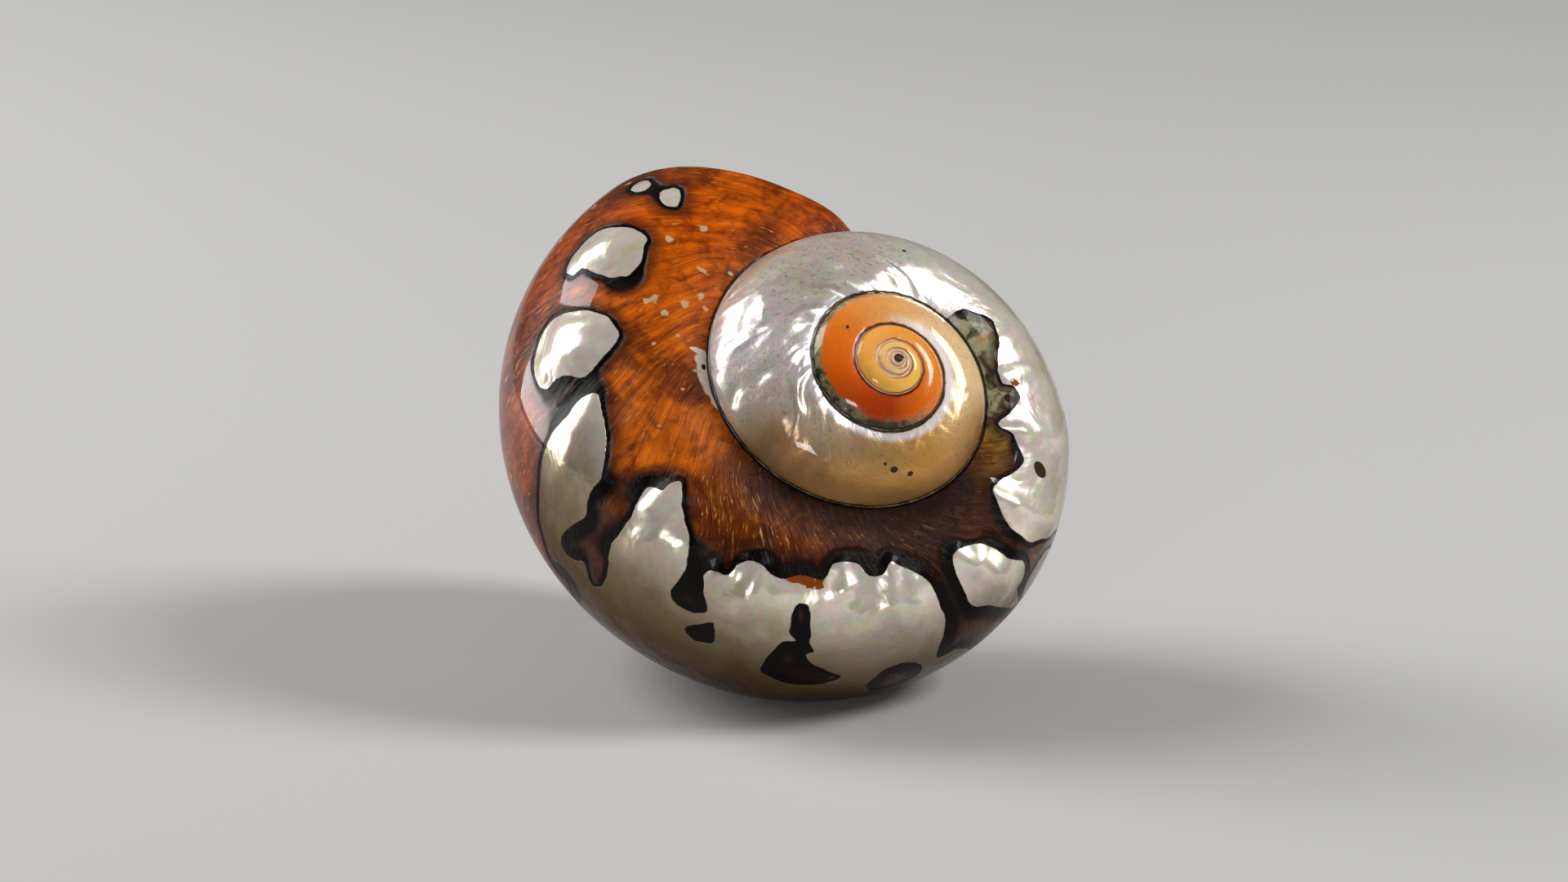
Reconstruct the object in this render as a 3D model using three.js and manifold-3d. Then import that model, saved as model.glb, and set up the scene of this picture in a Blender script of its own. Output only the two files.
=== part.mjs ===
// Turban shell: a coiled sea-snail shell of the South African turban, polished, lying on its
// body whorl with the spire turned up to the front and the mouth turned up and away.
// Millimetres, +Z up, front is -Y. One piece: the shell wall, hollow from the mouth inwards.
import * as THREE from "three";
import { mergeVertices } from "three/addons/utils/BufferGeometryUtils.js";
import Module from "manifold-3d";

// ---- Driving dimensions -------------------------------------------------------------------
// The coil has its own frame: the apex is the origin, +Z runs out of the apex along the coiling
// axis, and turns are counted in degrees of growth, clockwise as seen from the apex. The lip is
// at turn 0 and every older part of the shell is at a negative turn.
const GROWTH_PER_TURN = 1.98; // every length grows by this much in one full turn
const SECTION_OUT = 26.0; // centre of the whorl's section from the axis, at turn 0
const SECTION_DOWN = 36.3; // the same centre below the apex
const SECTION_WIDE = 23.7; // half the section's width, across the axis
const SECTION_TALL = 25.6; // half its height, along the axis
const SECTION_TILT = -14.4; // degrees that the section leans out at its top
const BASE_FULLNESS = 5; // how far the base swells out of the plain section
const BASE_PLACE = -72; // where round the section it swells most
const BASE_SPREAD = 28; // and the half width of the swelling, in degrees
const NAVEL_DRAW = 16; // how far the inner lower side is drawn in over the navel
const NAVEL_PLACE = -132;
const NAVEL_SPREAD = 30;
const AXIS_PORE = 0.4; // nearest that a whorl comes to the axis
const LAST_DROP = 4.85; // how far the last whorl sinks below the spiral's own line
const LAST_DROP_REACH = 110; // degrees of growth over which it sinks
const OLDEST_TURN = -1350; // where the tip of the spire starts

const WALL = 3.0; // wall of the body whorl
const LIP_EDGE = 1.3; // wall at the very edge of the lip
const LIP_BEVEL_TURN = 24; // degrees of growth over which the lip reaches its full wall
const CAVITY_TURN = -540; // how deep the hollow runs
const OLDER_BY = 270; // whorls at least this much older show as the hollow's inner side
const MOUTH_FLARE = 9; // degrees that the cutting tube runs out past the lip

const KNOB_HEIGHT = 1.3; // height of the shoulder knobs at turn 0
const COLUMELLA_FOOT = 2.8; // widest radius of the pillar, near its foot
const COLUMELLA_NECK = 0.84; // radius at its upper end
const COLUMELLA_TIP = 1.96; // radius of the flat under its foot
const COLUMELLA_TOP = -14; // the pillar's upper end, on the axis
const COLUMELLA_BASE = -51; // and its lower end
const COLUMELLA_BEVEL = 0.6; // height of the bevel under the foot
const COLUMELLA_SWELL = 2.4; // height of the widest place above the lower end

// How the shell lies: the spire leans from upright, then the whole shell is turned.
const SPIN = 108.9; // turn of the coil about its own axis
const SPIRE_LEAN = 52.5; // degrees of the axis from the vertical
const SPIRE_TURN = 23.6; // degrees that the spire points to the right of the front
const CONTACT_DEPTH = 1.3; // depth of the worn flat that the shell rests on

// Mesh fineness
const TURN_STEP = 7.5; // degrees of growth between rings on the body whorl
const SPIRE_STEP = 15; // and on the whorls before it
const CAVITY_STEP = 11.25; // and in the hollow
const RING_SIDES = 32; // points round a ring of the outer wall
const CAVITY_SIDES = 20; // points round a ring of the hollow
const PILLAR_SIDES = 16; // points round the pillar
const SEGMENT_TURN = 90; // the tube is built in pieces of this much growth

// The lip is not square to the whorl: [place round the section, turns ahead or behind], both in
// degrees. Place 0 is the periphery, 90 faces the apex, -90 the base, 180 the pillar.
const LIP_SWEEP = [
  [-180, 50],
  [-140, 33],
  [-115, 11],
  [-90, -5],
  [-65, -12],
  [-35, -13],
  [0, -10],
  [30, -5.5],
  [55, 0.5],
  [72, 6.5],
  [88, 16],
  [102, 29],
  [118, 39],
  [145, 44],
];

// Shoulder knobs: [turn, place round the section, half length along the turn, half width].
const KNOBS = [
  [-24, 64, 9, 10],
  [-50, 61, 9, 11],
  [-76, 54, 9, 15],
  [-101, 60, 10, 15],
  [-116, 64, 7, 13],
  [-134, 65, 6, 10],
  [-151, 65, 7, 11],
  [-186, 62, 10, 11],
  [-212, 58, 9, 12],
  [-232, 57, 8, 12],
];

// ---- Small helpers ------------------------------------------------------------------------
const DEG = Math.PI / 180;
const wasm = await Module();
wasm.setup();

function smoothStep(from, to, x) {
  const t = Math.min(1, Math.max(0, (x - from) / (to - from)));
  return t * t * (3 - 2 * t);
}

// A smooth closed run through [angle, value] pairs (angles rising, over 360 degrees).
function roundTable(pairs, angle) {
  const n = pairs.length;
  let a = angle;
  while (a < pairs[0][0]) a += 360;
  while (a >= pairs[0][0] + 360) a -= 360;
  const at = (i) => {
    const turns = Math.floor(i / n);
    const [x, y] = pairs[i - turns * n];
    return [x + 360 * turns, y];
  };
  let i = 0;
  while (i < n - 1 && at(i + 1)[0] <= a) i++;
  const [p0, p1, p2, p3] = [at(i - 1), at(i), at(i + 1), at(i + 2)];
  const span = p2[0] - p1[0];
  const u = (a - p1[0]) / span;
  const m1 = ((p2[1] - p0[1]) / (p2[0] - p0[0])) * span;
  const m2 = ((p3[1] - p1[1]) / (p3[0] - p1[0])) * span;
  const u2 = u * u;
  const u3 = u2 * u;
  return (
    p1[1] * (2 * u3 - 3 * u2 + 1) +
    m1 * (u3 - 2 * u2 + u) +
    p2[1] * (3 * u2 - 2 * u3) +
    m2 * (u3 - u2)
  );
}

function solidFrom(geometry) {
  geometry.deleteAttribute("normal");
  geometry.deleteAttribute("uv");
  const merged = mergeVertices(geometry, 1e-4);
  return new wasm.Manifold(
    new wasm.Mesh({
      numProp: 3,
      vertProperties: merged.attributes.position.array,
      triVerts: new Uint32Array(merged.index.array),
    }),
  );
}

// Joining the whorls can leave specks in the seams: only the shell itself is kept.
function biggestBody(solid) {
  return solid.decompose().reduce((a, b) => (b.volume() > a.volume() ? b : a));
}

function geometryFrom(solid) {
  const mesh = solid.getMesh();
  const positions = new Float32Array(mesh.numVert * 3);
  for (let i = 0; i < mesh.numVert; i++) {
    for (let k = 0; k < 3; k++) {
      positions[3 * i + k] = mesh.vertProperties[mesh.numProp * i + k];
    }
  }
  const geometry = new THREE.BufferGeometry();
  geometry.setAttribute("position", new THREE.BufferAttribute(positions, 3));
  geometry.setIndex(new THREE.BufferAttribute(new Uint32Array(mesh.triVerts), 1));
  geometry.computeVertexNormals();
  return geometry;
}

// ---- The whorl's surface -------------------------------------------------------------------
// A hump of height 1 at a place round the section, falling off over the given spread.
function hump(place, middle, spread) {
  const away = ((((place - middle) % 360) + 540) % 360) - 180;
  return Math.exp(-((away / spread) ** 2));
}

// The whorl's section in the half plane of the axis, at full size: distance out and height.
// Its inner lower side is drawn in to the axis, which closes the navel of the shell.
function section(place, inset) {
  const c = Math.cos(place * DEG);
  const s = Math.sin(place * DEG);
  const swell = BASE_FULLNESS * hump(place, BASE_PLACE, BASE_SPREAD);
  const reach = 1 / Math.hypot(c / SECTION_WIDE, s / SECTION_TALL) + swell - inset;
  const tilt = SECTION_TILT * DEG;
  const out = SECTION_OUT + reach * (c * Math.cos(tilt) - s * Math.sin(tilt));
  const up = reach * (c * Math.sin(tilt) + s * Math.cos(tilt)) - SECTION_DOWN;
  const draw = inset > 0 ? 0 : NAVEL_DRAW * hump(place, NAVEL_PLACE, NAVEL_SPREAD);
  return { out: Math.max(AXIS_PORE, out - draw), up };
}

// Height of the shoulder knobs above the smooth whorl.
function knobRise(turn, place) {
  let rise = 0;
  for (const [knobTurn, knobPlace, long, wide] of KNOBS) {
    const along = (turn - knobTurn) / long;
    const across = (place - knobPlace) / wide;
    rise += KNOB_HEIGHT * Math.exp(-(along ** 2 + across ** 2));
  }
  return rise;
}

// A point of the wall: growth is the turn that the growth line belongs to, and the lip's sweep
// carries the point ahead of it or behind it.
function wallPoint(growth, place, inset) {
  const turn = growth + roundTable(LIP_SWEEP, place);
  const scale = GROWTH_PER_TURN ** (turn / 360);
  const rise = inset > 0 ? 0 : knobRise(turn, place);
  const { out, up } = section(place, inset - rise);
  const drop = LAST_DROP * Math.exp(-((turn / LAST_DROP_REACH) ** 2));
  const angle = -turn * DEG;
  return [
    out * scale * Math.cos(angle),
    out * scale * Math.sin(angle),
    up * scale - (turn > 0 ? LAST_DROP : drop),
  ];
}

// A closed stretch of tube between two growths, its ends closed by fans.
function tube(from, to, step, sides, insetAt) {
  const rings = Math.max(1, Math.round((to - from) / step));
  const positions = [];
  for (let i = 0; i <= rings; i++) {
    const growth = from + ((to - from) * i) / rings;
    for (let j = 0; j < sides; j++) {
      positions.push(...wallPoint(growth, (360 * j) / sides - 180, insetAt(growth)));
    }
  }
  for (const ring of [0, rings]) {
    const middle = [0, 0, 0];
    for (let j = 0; j < sides; j++) {
      for (let k = 0; k < 3; k++) middle[k] += positions[3 * (ring * sides + j) + k] / sides;
    }
    positions.push(...middle);
  }
  const index = [];
  for (let i = 0; i < rings; i++) {
    for (let j = 0; j < sides; j++) {
      const a = i * sides + j;
      const b = i * sides + ((j + 1) % sides);
      index.push(a, b, a + sides, b, b + sides, a + sides);
    }
  }
  const startMiddle = (rings + 1) * sides;
  for (let j = 0; j < sides; j++) {
    const next = (j + 1) % sides;
    index.push(startMiddle, next, j);
    index.push(startMiddle + 1, rings * sides + j, rings * sides + next);
  }
  const geometry = new THREE.BufferGeometry();
  geometry.setAttribute("position", new THREE.Float32BufferAttribute(positions, 3));
  geometry.setIndex(index);
  return geometry;
}

// ---- The shell ------------------------------------------------------------------------------
const outerStep = (from) => (from < -360 ? SPIRE_STEP : TURN_STEP);

function outerStretches() {
  const stretches = [];
  for (let to = 0; to > OLDEST_TURN; to -= SEGMENT_TURN) {
    const from = to - SEGMENT_TURN;
    stretches.push({ to, solid: solidFrom(tube(from, to, outerStep(from), RING_SIDES, () => 0)) });
  }
  return stretches;
}

// The hollow's inset is the wall. It shrinks with the whorl and thins to the lip's edge.
function cavityInset(growth) {
  return WALL - (WALL - LIP_EDGE) * smoothStep(-LIP_BEVEL_TURN, 0, growth);
}

// One stretch of the hollow. The whorls that are a turn older stay: they are the inner wall.
function cavityStretch(from, to, outers) {
  const older = outers.filter((stretch) => stretch.to <= to - OLDER_BY);
  const hollow = solidFrom(tube(from, to, CAVITY_STEP, CAVITY_SIDES, cavityInset));
  return hollow.subtract(wasm.Manifold.union(older.map((stretch) => stretch.solid)));
}

function columella() {
  const profile = [
    new THREE.Vector2(0, COLUMELLA_BASE),
    new THREE.Vector2(COLUMELLA_TIP, COLUMELLA_BASE + COLUMELLA_BEVEL),
    new THREE.Vector2(COLUMELLA_FOOT, COLUMELLA_BASE + COLUMELLA_SWELL),
    new THREE.Vector2(COLUMELLA_NECK, COLUMELLA_TOP),
    new THREE.Vector2(0, COLUMELLA_TOP),
  ];
  return solidFrom(new THREE.LatheGeometry(profile, PILLAR_SIDES).rotateX(Math.PI / 2));
}

function shellSolid() {
  const outers = outerStretches();
  const outside = outers.map((stretch) => stretch.solid);
  const full = wasm.Manifold.union([...outside, columella()]);
  const hollows = [cavityStretch(-SEGMENT_TURN, MOUTH_FLARE, outers)];
  for (let to = -SEGMENT_TURN; to > CAVITY_TURN; to -= SEGMENT_TURN) {
    hollows.push(cavityStretch(to - SEGMENT_TURN, to, outers));
  }
  return biggestBody(full.subtract(wasm.Manifold.union(hollows)));
}

// The shell laid down: the axis leans, and the lowest stretch is worn flat where it rests.
function laidDown(solid) {
  const coil = new THREE.Matrix4().makeRotationZ(SPIN * DEG);
  const lean = new THREE.Matrix4().makeRotationX(SPIRE_LEAN * DEG);
  const turn = new THREE.Matrix4().makeRotationZ(SPIRE_TURN * DEG);
  return geometryFrom(solid).applyMatrix4(turn.multiply(lean).multiply(coil));
}

function wornFlat(geometry) {
  geometry.computeBoundingBox();
  const { min, max } = geometry.boundingBox;
  const middle = [(min.x + max.x) / 2, (min.y + max.y) / 2];
  const wide = 2 * (max.x - min.x);
  const ground = new THREE.BoxGeometry(wide, wide, wide);
  ground.translate(middle[0], middle[1], min.z + CONTACT_DEPTH - wide / 2);
  return biggestBody(solidFrom(geometry).subtract(solidFrom(ground)));
}

const geometry = geometryFrom(wornFlat(laidDown(shellSolid())));
geometry.computeBoundingBox();
const { min, max } = geometry.boundingBox;
const shell = new THREE.Mesh(
  geometry,
  new THREE.MeshStandardMaterial({ color: 0xb4550f, roughness: 0.25, metalness: 0 }),
);
shell.name = "shell";
shell.position.set(-(min.x + max.x) / 2, -(min.y + max.y) / 2, -min.z);

const part = new THREE.Group();
part.add(shell);

export default part;
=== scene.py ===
# A polished turban shell, lying on its last whorl with the spire turned up to the front.
# The orange-brown skin of the shell is left between the knobs. Where the knobs and the older
# whorls were ground, the mother-of-pearl shows, with a dark cut edge of the skin round it.
import math

import bpy
import numpy as np
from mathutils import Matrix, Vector


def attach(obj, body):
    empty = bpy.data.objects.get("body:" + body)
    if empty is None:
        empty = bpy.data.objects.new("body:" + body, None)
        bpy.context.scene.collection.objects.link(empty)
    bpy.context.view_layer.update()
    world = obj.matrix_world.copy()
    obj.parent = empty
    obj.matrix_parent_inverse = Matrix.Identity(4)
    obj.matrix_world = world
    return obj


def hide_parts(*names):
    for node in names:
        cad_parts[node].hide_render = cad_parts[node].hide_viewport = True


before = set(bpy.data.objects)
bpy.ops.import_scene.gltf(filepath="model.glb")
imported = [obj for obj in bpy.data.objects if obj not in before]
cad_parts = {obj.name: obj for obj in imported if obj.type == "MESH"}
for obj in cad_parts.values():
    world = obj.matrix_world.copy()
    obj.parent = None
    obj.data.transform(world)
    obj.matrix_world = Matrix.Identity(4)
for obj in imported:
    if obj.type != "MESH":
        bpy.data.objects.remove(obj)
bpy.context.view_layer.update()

MM = 0.001


# ---- Camera ---------------------------------------------------------------------------------
def place_camera():
    data = bpy.data.cameras.new("camera")
    data.lens = 100
    data.sensor_width = 36
    data.clip_start = 0.01
    data.clip_end = 20
    camera = bpy.data.objects.new("camera", data)
    camera.location = (0.0002, -0.5899, 0.1898)
    camera.rotation_euler = (math.radians(75), 0, 0)
    bpy.context.scene.collection.objects.link(camera)
    bpy.context.scene.camera = camera


place_camera()

# ---- The coil -------------------------------------------------------------------------------
# Lengths are in millimetres and angles in degrees. The apex is the coil's origin and +Z runs
# out of it along the axis. Growth is counted clockwise seen from the apex: the lip is at 0 and
# older parts are negative. Place goes round a whorl's section: 0 is the periphery, 90 faces
# the apex, -90 the base and 180 the pillar.
GROWTH_PER_TURN = 1.98
SECTION_OUT = 26.0
SECTION_DOWN = 36.3
SECTION_WIDE = 23.7
SECTION_TALL = 25.6
SECTION_TILT = -14.4
BASE_FULLNESS = 5
BASE_PLACE = -72
BASE_SPREAD = 28
NAVEL_DRAW = 16
NAVEL_PLACE = -132
NAVEL_SPREAD = 30
AXIS_PORE = 0.4
LAST_DROP = 4.85
LAST_DROP_REACH = 110
WALL = 3.0
LIP_EDGE = 1.3
LIP_BEVEL_TURN = 24

# A face this far inside a neighbouring whorl can't be seen, and a pit goes this deep.
BURIED = 1.2
BURIED_HOLLOW = 1.0
PIT_DEPTH = 0.35
# The older whorl's wall shows in the mouth from this growth on, and is ground bare before this turn.
MOUTH_GROWTH = -560
BARE_TURN = -420

# How the shell lies, and where that puts the apex.
SPIN = 108.9
SPIRE_LEAN = 52.5
SPIRE_TURN = 23.6
APEX = np.array([15.7025, -22.9190, 49.4415])

# The lip is swept: (place, degrees of turn ahead of or behind the growth line's own).
LIP_SWEEP = [
    (-180, 50), (-140, 33), (-115, 11), (-90, -5), (-65, -12), (-35, -13), (0, -10),
    (30, -5.5), (55, 0.5), (72, 6.5), (88, 16), (102, 29), (118, 39), (145, 44),
]

# Shoulder knobs: (turn, place, half length, half width, height).
KNOBS = [
    (-24, 64, 9, 10, 1.3), (-50, 61, 9, 11, 1.3), (-76, 54, 9, 15, 1.5), (-99, 60, 9, 15, 1.9),
    (-118, 60, 8, 14, 2.0), (-134, 65, 5, 10, 0.8), (-151, 62, 10, 14, 2.0), (-184, 62, 9, 11, 1.7),
    (-212, 58, 9, 12, 1.2), (-234, 56, 11, 13, 0.8),
]

# Crests that the grinding left on the knobs: (turn, place, turn, place, half width, height).
CRESTS = [
    (-24, 72, -27, 58, 2.3, 0.6), (-29, 70, -30, 53, 2.1, 0.5), (-45, 72, -46, 56, 2.6, 0.8),
    (-51, 68, -52, 48, 2.4, 0.7), (-61, 67, -66, 56, 2.1, 0.6), (-67, 62, -74, 42, 2.7, 0.8),
    (-87.5, 78, -89.5, 66, 1.7, 0.9), (-93, 72, -96, 48, 2.8, 1.1), (-100, 66, -103, 46, 2.2, 0.6),
    (-111.5, 72, -112, 66, 1.5, 0.8), (-117, 73, -119.5, 56, 2.4, 1.1), (-124, 66, -126, 48, 2.2, 0.6),
    (-136, 83, -138, 76, 1.8, 0.8), (-139, 72, -144, 60, 2.7, 1.0), (-150, 84, -151, 70, 2, 0.9),
    (-157, 76, -159, 54, 2.6, 0.8), (-172, 82, -176, 74, 2, 0.8), (-179, 74, -184, 56, 2.6, 0.9),
    (-195, 92, -198, 82, 2.2, 0.9), (-200, 78, -206, 58, 2.8, 0.9), (-220, 102, -223, 92, 2.2, 1.0),
    (-226, 86, -230, 70, 3.2, 0.6), (-246, 98, -250, 82, 2.7, 0.6), (-262, 88, -267, 66, 2.9, 0.5),
]

# Where the dark cut edge runs wider: (turn, place, half length, half width) in degrees.
WIDE_EDGES = [
    (-60, 52, 4, 9), (-82, 60, 3, 9), (-86, 36, 4, 18), (-84, 72, 3, 8), (-106, 66, 4, 10),
    (-109, 52, 3, 8), (-122, 78, 12, 8), (-145, 87, 16, 8), (-166, 86, 8, 8), (-132, 40, 5, 20),
    (-168, 50, 4, 30), (-160, 26, 7, 16), (-190, 50, 5, 26), (-188, 84, 5, 10), (-210, 74, 2, 9),
    (-88, 4, 6, 14), (-188, 16, 14, 18), (-34, 74, 2.5, 5), (-59, 66, 3, 5), (-7, 61, 2, 4),
    (-31, 76, 3, 5), (-115, 38, 4, 8), (-216, 92, 4, 4), (-236, 92, 6, 3), (-170, 60, 6, 20),
    (-178, 42, 8, 12), (-197, 30, 6, 16),
]

# Rust stains over the pearl: (turn, place, half length, half width) in degrees.
RUST = [
    (-125.5, 75, 3.0, 2.8), (-131, 75.5, 3.2, 3.2), (-235.5, 92.5, 2.6, 2.2), (-243, 93, 1.5, 3.4),
    (-279, 99, 2.2, 3.4),
]

# Pale scuffs on the skin against the seam: (turn, place, half length, half width) in degrees.
SCUFFS = [
    (-50, 106, 2.4, 4.6), (-55, 107, 4.6, 5.6), (-61, 108, 5.5, 5.6), (-68, 110, 5.0, 5.0),
    (-47, 103, 0.9, 3.4),
]

# Pale flecks in the skin: (turn, place, half length, half width) in degrees.
FLECKS = [
    (-33, 96, 1.5, 1.8), (-38, 90.5, 1.2, 1.6), (-35, 86, 1.8, 1.6), (-36.5, 83.5, 1.2, 1.4),
    (-17.5, 81, 1.2, 2.2), (-9.5, 87, 1.2, 1.8), (-31, 103, 1.3, 1.5), (-55, 103, 1.0, 2.4),
    (-14, 104, 1.2, 1.6), (-20, 96, 1.0, 2.8), (-44, 96, 1.1, 1.2), (-6, 44, 0.9, 1.6),
    (-12, 36, 0.9, 1.6), (-24, 36, 0.9, 1.4), (-20, 30, 1.0, 1.5), (-28, 100, 1.8, 1.2),
    (-48, 88, 0.8, 1.0), (-62, 96, 0.8, 1.0), (-72, 84, 0.8, 1.2),
]


def hump(place, middle, spread):
    away = (place - middle + 180) % 360 - 180
    return np.exp(-((away / spread) ** 2))


def smooth_step(low, high, x):
    t = np.clip((x - low) / (high - low), 0, 1)
    return t * t * (3 - 2 * t)


# A smooth closed run through (angle, value) pairs, which rise over 360 degrees.
def round_table(pairs, angle):
    xs = np.array([p[0] for p in pairs], float)
    ys = np.array([p[1] for p in pairs], float)
    xs = np.concatenate([xs[-2:] - 360, xs, xs[:3] + 360])
    ys = np.concatenate([ys[-2:], ys, ys[:3]])
    a = (angle - pairs[0][0]) % 360 + pairs[0][0]
    i = np.clip(np.searchsorted(xs, a, side="right") - 1, 1, len(xs) - 3)
    span = xs[i + 1] - xs[i]
    u = (a - xs[i]) / span
    m1 = (ys[i + 1] - ys[i - 1]) / (xs[i + 1] - xs[i - 1]) * span
    m2 = (ys[i + 2] - ys[i]) / (xs[i + 2] - xs[i]) * span
    u2 = u * u
    u3 = u2 * u
    value = ys[i] * (2 * u3 - 3 * u2 + 1) + m1 * (u3 - 2 * u2 + u)
    return value + ys[i + 1] * (3 * u2 - 2 * u3) + m2 * (u3 - u2)


def whorl_scale(turn):
    return GROWTH_PER_TURN ** (turn / 360)


def whorl_drop(turn):
    return np.where(turn > 0, LAST_DROP, LAST_DROP * np.exp(-((turn / LAST_DROP_REACH) ** 2)))


def section_reach(place):
    c = np.cos(np.radians(place))
    s = np.sin(np.radians(place))
    swell = BASE_FULLNESS * hump(place, BASE_PLACE, BASE_SPREAD)
    return 1 / np.hypot(c / SECTION_WIDE, s / SECTION_TALL) + swell


# A point of the coil. Rise lifts it off the plain whorl, and drawn closes the navel.
def coil_point(turn, place, rise, drawn=True):
    c = np.cos(np.radians(place))
    s = np.sin(np.radians(place))
    reach = section_reach(place) + rise
    tilt = math.radians(SECTION_TILT)
    out = SECTION_OUT + reach * (c * math.cos(tilt) - s * math.sin(tilt))
    up = reach * (c * math.sin(tilt) + s * math.cos(tilt)) - SECTION_DOWN
    if drawn:
        out = out - NAVEL_DRAW * hump(place, NAVEL_PLACE, NAVEL_SPREAD)
    out = np.maximum(AXIS_PORE, out) * whorl_scale(turn)
    angle = np.radians(-turn)
    height = up * whorl_scale(turn) - whorl_drop(turn)
    return np.stack([out * np.cos(angle), out * np.sin(angle), height], -1)


# How far a point lies outside the whorl that is turns_on turns away, in millimetres.
def clear_of_whorl(points, turn, turns_on):
    other = turn + 360 * turns_on
    scale = whorl_scale(other)
    out = np.hypot(points[..., 0], points[..., 1]) / scale - SECTION_OUT
    up = (points[..., 2] + whorl_drop(other)) / scale + SECTION_DOWN
    tilt = math.radians(-SECTION_TILT)
    across = out * math.cos(tilt) - up * math.sin(tilt)
    along = out * math.sin(tilt) + up * math.cos(tilt)
    place = np.degrees(np.arctan2(along, across))
    return (np.hypot(across, along) - section_reach(place)) * scale


def turned(degrees, axis):
    a = math.radians(degrees)
    c, s = math.cos(a), math.sin(a)
    if axis == "z":
        return np.array([[c, -s, 0], [s, c, 0], [0, 0, 1]])
    return np.array([[1, 0, 0], [0, c, -s], [0, s, c]])


LAID = turned(SPIRE_TURN, "z") @ turned(SPIRE_LEAN, "x") @ turned(SPIN, "z")


def lay_down(points):
    return points @ LAID.T + APEX


# ---- Relief of the outer wall ---------------------------------------------------------------
# Millimetres for a degree, near the shoulder of the last whorl.
ALONG_TURN = 0.72
ALONG_PLACE = 0.42
# Past this many millimetres from an outline, the distance to it no longer matters.
FAR = 8.0


def crest_height(turn, place, crest):
    turn_a, place_a, turn_b, place_b, wide, height = crest
    ax, ay = turn_a * ALONG_TURN, place_a * ALONG_PLACE
    bx, by = turn_b * ALONG_TURN, place_b * ALONG_PLACE
    x, y = turn * ALONG_TURN, place * ALONG_PLACE
    run = (bx - ax) ** 2 + (by - ay) ** 2
    t = np.clip(((x - ax) * (bx - ax) + (y - ay) * (by - ay)) / run, 0, 1)
    away = np.hypot(x - ax - t * (bx - ax), y - ay - t * (by - ay))
    return height * np.exp(-((away / wide) ** 2))


def outer_rise(turn, place):
    rise = np.zeros_like(turn)
    for knob_turn, knob_place, long, wide, height in KNOBS:
        along = (turn - knob_turn) / long
        across = (place - knob_place) / wide
        rise += height * np.exp(-(along**2 + across**2))
    for crest in CRESTS:
        rise += crest_height(turn, place, crest)
    # shallow ripples across the penultimate whorl, which catch the light as they turn
    ripple = np.sin(turn * math.pi / 8.5 + 0.04 * place) * hump(place, 82, 16)
    ripple *= smooth_step(-480, -440, turn) * (1 - smooth_step(-370, -340, turn))
    rise += 0.10 * ripple
    return rise


def outer_point(turn, place):
    return coil_point(turn, place, outer_rise(turn, place))


# ---- Outlines of the markings, as (turn, place) -----------------------------------------------
SMALL_DOT = [(-4.7, 54), (-6, 57.5), (-8, 58), (-9, 54.5), (-8.2, 50), (-6.3, 49), (-5, 51)]
UPPER_DOT = [(-8.7, 75), (-10, 72), (-9, 67), (-7, 64), (-4.6, 66.5), (-4.4, 69.5), (-6, 72.5)]
TOP_PATCH = [
    (-20, 75), (-23.5, 76), (-27, 77.5), (-31, 75.5), (-32.7, 70.5), (-32.2, 62.7), (-31, 58),
    (-32.5, 54), (-31.3, 49.6), (-27.5, 48.8), (-23, 52), (-21, 56.5), (-20.6, 62.7), (-19.3, 69),
]
TOOTH_PATCH = [
    (-46.6, 77), (-50, 74.6), (-53.4, 70.4), (-56.6, 65), (-56.6, 62), (-55.3, 56.5), (-55.6, 51),
    (-56.6, 47), (-55, 42.7), (-50, 40.4), (-45, 43.5), (-41.6, 49), (-41, 56.5), (-41, 65),
    (-42.5, 72),
]
BELT = [
    (-60.3, 67.7), (-65.6, 67.2), (-71.3, 65.8), (-75.6, 62), (-78.8, 58), (-79.5, 53.5),
    (-80.6, 49), (-83.4, 43), (-82.5, 34), (-82.5, 25), (-83.3, 21), (-85.8, 19.4), (-87.5, 21.5),
    (-89.2, 26.5), (-91.7, 21.5), (-93.3, 19), (-94.8, 23), (-94.2, 30), (-93.3, 34.6), (-91.3, 40),
    (-90.2, 46), (-90, 51), (-88.8, 58), (-86.3, 65), (-85, 69), (-85.5, 71), (-88, 73),
    (-87, 76.5), (-87.8, 80.4), (-90, 78.5), (-93, 75), (-96.3, 72), (-100, 69), (-102.2, 65),
    (-104.4, 59.6), (-105, 53.5), (-105, 48), (-106.6, 44.2), (-108.4, 43), (-111.3, 44.2),
    (-113.4, 48), (-112.5, 51.2), (-110.3, 54.2), (-109.4, 57.3), (-107.8, 60.4), (-108, 63.5),
    (-110, 65), (-112.2, 65.4), (-112.2, 71.2), (-113.4, 73.8), (-116, 75), (-120, 73),
    (-122.8, 72.3), (-125, 75.4), (-128, 77.3), (-131, 76.5), (-133, 77), (-133.4, 84.2),
    (-137, 85.4), (-140.6, 85.4), (-142.2, 83.5), (-143.4, 81.2), (-146.3, 80.4), (-148.4, 81.5),
    (-149.7, 85.8), (-150.6, 86.2), (-152.8, 84.6), (-157, 81.2), (-160.3, 77.7), (-162.5, 74.2),
    (-164, 69), (-165.3, 62), (-167, 56.5), (-167.2, 49.6), (-166.5, 36), (-167.5, 31),
    (-169.5, 30.5), (-171.7, 32.5), (-175, 27.7), (-177.5, 21.5), (-180, 12), (-181, 0), (-178, -8),
    (-165, -12), (-150, -14), (-135, -12), (-120, -14), (-108, -16), (-94, -15), (-93, -8), (-92.5, 3),
    (-91, 8.5), (-88.3, 10.3), (-85.5, 9), (-83.8, 4.6), (-80.8, 10), (-77.5, 15.4), (-75, 22.3),
    (-71.6, 30.4), (-67.8, 38), (-64.7, 46.5), (-63.8, 54.2), (-61.3, 59.6),
]
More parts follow.
